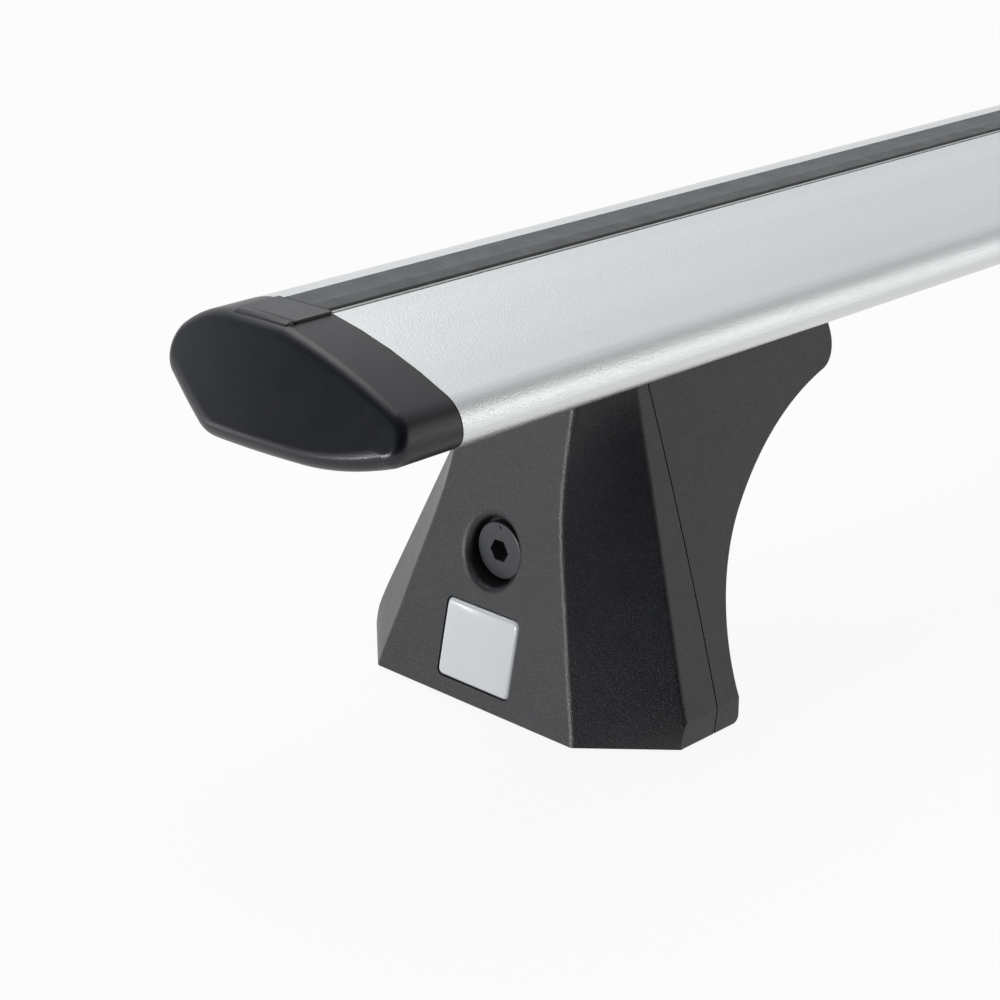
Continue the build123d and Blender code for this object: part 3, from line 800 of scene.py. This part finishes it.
@dataclass
class BadgePlate:
    """The bare domed plate in the recess of one foot's front face."""

    side: Side
    width: float = 27.4
    height: float = 22.6
    corner: float = 1.7
    thickness: float = 1.0
    dome: float = 0.50            # height of the crown
    crown: float = 0.45           # power that sets how full the crown is
    edge: float = 0.40            # height of the rounding that leads up to it
    columns: int = 44
    rows: int = 36
    smooth: float = 62.0
    sink: float = 1.2             # depth of the recess
    rise: float = 16.6            # up the front face, from its foot to the plate's middle
    shift: float = 0.7            # off the foot's middle, along Y
    lean: float = 12.2            # degrees that the front face leans back
    front: float = 544.4          # middle of the bar to the foot of the front face
    base: float = 1.0             # height of that foot

    def build(self) -> bpy.types.Object:
        """Build the plate, crowned towards its middle, and return it."""
        mesh = bmesh.new()
        bmesh.ops.create_grid(mesh, x_segments=self.columns, y_segments=self.rows, size=0.5)
        bmesh.ops.scale(mesh, vec=(self.width, self.height, 1.0), verts=mesh.verts)
        self._round_corners(mesh)
        rim = [e for e in mesh.edges if e.is_boundary]
        rim_verts = {v for e in rim for v in e.verts}
        for vert in mesh.verts:
            if vert not in rim_verts:
                u = 1.0 - (2.0 * vert.co.x / self.width) ** 2
                w = 1.0 - (2.0 * vert.co.y / self.height) ** 2
                full = max(u * w, 0.0) ** self.crown
                vert.co.z = self.thickness + self.edge + self.dome * full
            else:
                vert.co.z = self.thickness
        made = bmesh.ops.extrude_edge_only(mesh, edges=rim)
        lower = [g for g in made["geom"] if isinstance(g, bmesh.types.BMVert)]
        for vert in lower:
            vert.co.z = 0.0
        edges = [g for g in made["geom"] if isinstance(g, bmesh.types.BMEdge)
                 and all(v in lower for v in g.verts)]
        bmesh.ops.edgeloop_fill(mesh, edges=edges)
        self._place(mesh)
        return finish_mesh(f"{self.side.label}_badge_plate", mesh, self.smooth)

    def _round_corners(self, mesh: bmesh.types.BMesh) -> None:
        """Pull the four corners of the grid in to a rounding."""
        half_w, half_h = self.width / 2, self.height / 2
        for vert in mesh.verts:
            x, y = abs(vert.co.x), abs(vert.co.y)
            reach = max(x / half_w, y / half_h)
            if reach < 1e-6:
                continue
            edge_x, edge_y = x / reach, y / reach
            over_x = edge_x - (half_w - self.corner)
            over_y = edge_y - (half_h - self.corner)
            if over_x > 0 and over_y > 0:
                span = math.hypot(over_x, over_y)
                pull = self.corner / span if span > self.corner else 1.0
                target_x = half_w - self.corner + over_x * pull
                target_y = half_h - self.corner + over_y * pull
                vert.co.x *= target_x / edge_x
                vert.co.y *= target_y / edge_y

    def _place(self, mesh: bmesh.types.BMesh) -> None:
        """Stand the plate in its recess on the leaning front face."""
        sign = self.side.value
        tilt = math.radians(self.lean)
        outward = Vector((sign * math.cos(tilt), 0.0, math.sin(tilt)))
        upward = Vector((-sign * math.sin(tilt), 0.0, math.cos(tilt)))
        across = upward.cross(outward)
        spot = Vector((sign * self.front, self.shift, self.base))
        spot += upward * self.rise - outward * self.sink
        turn = Matrix((across, upward, outward)).transposed().to_4x4()
        bmesh.ops.transform(mesh, matrix=Matrix.Translation(spot) @ turn, verts=mesh.verts)
        scale_to_metres(mesh)


@dataclass(frozen=True)
class Lamp:
    """One square soft light.

    Args:
        name: Name of the lamp.
        place: Where it hangs.
        target: Point that it faces.
        size: Length of its side.
        watts: Its power.
    """

    name: str
    place: Place
    target: Place
    size: float
    watts: float

    def hang(self) -> None:
        """Put the lamp in the scene."""
        data = bpy.data.lights.new(self.name, "AREA")
        data.shape = "SQUARE"
        data.size = self.size
        data.energy = self.watts
        lamp = bpy.data.objects.new(self.name, data)
        lamp.location = self.place
        look = Vector(self.target) - Vector(self.place)
        lamp.rotation_euler = look.to_track_quat("-Z", "Y").to_euler()
        bpy.context.scene.collection.objects.link(lamp)


@dataclass
class Studio:
    """Floor, light and camera."""

    camera_place: Place = (-0.9685, -0.4251, 0.2921)
    camera_turn: Place = (69.084, 0.0, -45.714)
    lens: float = 85.24
    sensor: float = 36.0
    floor_half: float = 12.0
    floor_drop: float = 0.0002    # the floor lies this far under the pads
    floor_colour: Colour = (0.93, 0.93, 0.93)
    floor_bounce: Colour = (0.45, 0.45, 0.45)     # what it throws back at dull surfaces
    floor_white: float = 0.92
    floor_mirrored: float = 0.95  # strength at which glossy surfaces show it
    world_colour: Colour = (0.97, 0.985, 1.0)
    world_strength: float = 0.88
    dim_side: Place = (-0.60, -0.78, 0.18)        # the unlit side of the room
    dim_span: tuple[float, float] = (0.40, 0.88)
    dim_left: float = 0.05        # light left there
    open_side: Place = (0.62, 0.62, 0.48)         # the bright side opposite
    open_span: tuple[float, float] = (0.32, 0.66)
    low_span: tuple[float, float] = (0.08, 0.30)  # height over which the horizon's light fades
    low_left: float = 0.10
    lamps: tuple[Lamp, ...] = (
        Lamp("left", (-2.6, 0.12, 0.18), (-0.55, 0.0, 0.07), 0.16, 27.0),
        Lamp("far_left", (-2.0, 1.6, 0.18), (-0.55, 0.0, 0.05), 0.5, 4.5),
        Lamp("top", (-0.2, 0.9, 1.9), (-0.4, 0.0, 0.1), 1.2, 10.0),
        Lamp("right", (0.9, -1.7, 0.7), (-0.5, 0.0, 0.08), 1.4, 8.0),
    )

    def build(self) -> None:
        """Set up everything round the object."""
        self._camera()
        self._floor()
        self._world()
        for lamp in self.lamps:
            lamp.hang()
        bpy.context.scene.view_settings.view_transform = "Standard"

    def _camera(self) -> None:
        """Place the camera where the photograph was taken from."""
        data = bpy.data.cameras.new("camera")
        data.lens = self.lens
        data.sensor_width = self.sensor
        data.clip_start = 0.01
        camera = bpy.data.objects.new("camera", data)
        camera.location = self.camera_place
        camera.rotation_euler = tuple(math.radians(a) for a in self.camera_turn)
        bpy.context.scene.collection.objects.link(camera)
        bpy.context.scene.camera = camera

    def _floor(self) -> None:
        """Lay a wide plain floor under the pads."""
        mesh = bmesh.new()
        bmesh.ops.create_grid(mesh, x_segments=1, y_segments=1, size=self.floor_half)
        floor = finish_mesh("floor", mesh)
        floor.data.transform(Matrix.Translation((0.0, 0.0, -self.floor_drop)))
        material = bpy.data.materials.new("floor_paint")
        material.use_nodes = True
        material.node_tree.nodes.clear()
        desk = NodeDesk(material.node_tree)
        paint = desk.add("ShaderNodeBsdfDiffuse", {"Color": (*self.floor_colour, 1.0)})
        dull = desk.add("ShaderNodeBsdfDiffuse", {"Color": (*self.floor_bounce, 1.0)})
        path = desk.add("ShaderNodeLightPath")
        shine = desk.math("MAXIMUM", path.outputs["Is Glossy Ray"],
                          path.outputs["Is Transmission Ray"])
        bounced = desk.pick(shine, dull.outputs["BSDF"], desk.glow(self.floor_mirrored))
        pale = desk.pick(self.floor_white, paint.outputs["BSDF"], desk.glow(1.0))
        mix = desk.pick(path.outputs["Is Camera Ray"], bounced, pale)
        outlet = desk.add("ShaderNodeOutputMaterial")
        desk.feed(outlet.inputs["Surface"], mix)
        floor.data.materials.append(material)

    def _world(self) -> None:
        """Light everything softly from all round, and show white behind."""
        world = bpy.data.worlds.new("studio")
        bpy.context.scene.world = world
        world.use_nodes = True
        world.node_tree.nodes.clear()
        desk = NodeDesk(world.node_tree)
        facing = desk.add("ShaderNodeTexCoord").outputs["Generated"]
        toward = desk.add("ShaderNodeVectorMath", {0: facing, 1: self.dim_side},
                          operation="DOT_PRODUCT")
        side = desk.spread(toward.outputs["Value"], *self.dim_span, 1.0, self.dim_left)
        away = desk.add("ShaderNodeVectorMath", {0: facing, 1: self.open_side},
                        operation="DOT_PRODUCT")
        height = desk.add("ShaderNodeSeparateXYZ", {0: facing}).outputs["Z"]
        low = desk.spread(height, *self.low_span, 1.0, self.low_left)
        back = desk.spread(away.outputs["Value"], *self.open_span, 0.0, 1.0)
        band = desk.math("MAXIMUM", low, back)
        soft = desk.add("ShaderNodeBackground", {
            "Color": (*self.world_colour, 1.0),
            "Strength": desk.math("MULTIPLY", desk.math("MULTIPLY", side, band),
                                  self.world_strength)})
        white = desk.add("ShaderNodeBackground", {"Color": WHITE, "Strength": 1.0})
        path = desk.add("ShaderNodeLightPath")
        mix = desk.pick(path.outputs["Is Camera Ray"], soft.outputs[0], white.outputs[0])
        outlet = desk.add("ShaderNodeOutputWorld")
        desk.feed(outlet.inputs["Surface"], mix)


class Crossbar:
    """The dressed crossbar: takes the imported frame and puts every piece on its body."""

    def __init__(self, frame: dict) -> None:
        """Take the loaded frame and make the finishes."""
        self.frame = frame
        self.shop = FinishShop()
        self.slots = {part["node"]: part["material_slot"]
                      for part in frame["record"]["subparts"]}
        self.bodies = {node: body
                       for body, nodes in frame["record"]["behaviour"]["bodies"].items()
                       for node in nodes}

    def stand_for(self, piece: bpy.types.Object, node: str) -> None:
        """Put a piece in a node's place, on its body and in its finish."""
        slot = self.slots[node]
        self.shop.dress(piece, slot)
        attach(piece, self.bodies[node])
        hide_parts(node)
        log.info("%s stands for %s", piece.name, node)

    def build(self) -> None:
        """Dress every node and build the finer pieces."""
        for node, solid in self.frame["nodes"].items():
            self.shop.dress(solid, self.slots[node])
        for side in Side:
            cap = f"{side.label}_end_cap"
            self.stand_for(EndCap(side, self.frame["nodes"][cap]).build(), cap)
            self.stand_for(BadgePlate(side).build(), f"{side.label}_badge")


def main() -> None:
    """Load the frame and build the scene."""
    logging.basicConfig(level=logging.INFO, format="%(name)s: %(message)s")
    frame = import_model()
    Studio().build()
    Crossbar(frame).build()
    bpy.context.view_layer.update()


if __name__ == "__main__":
    main()
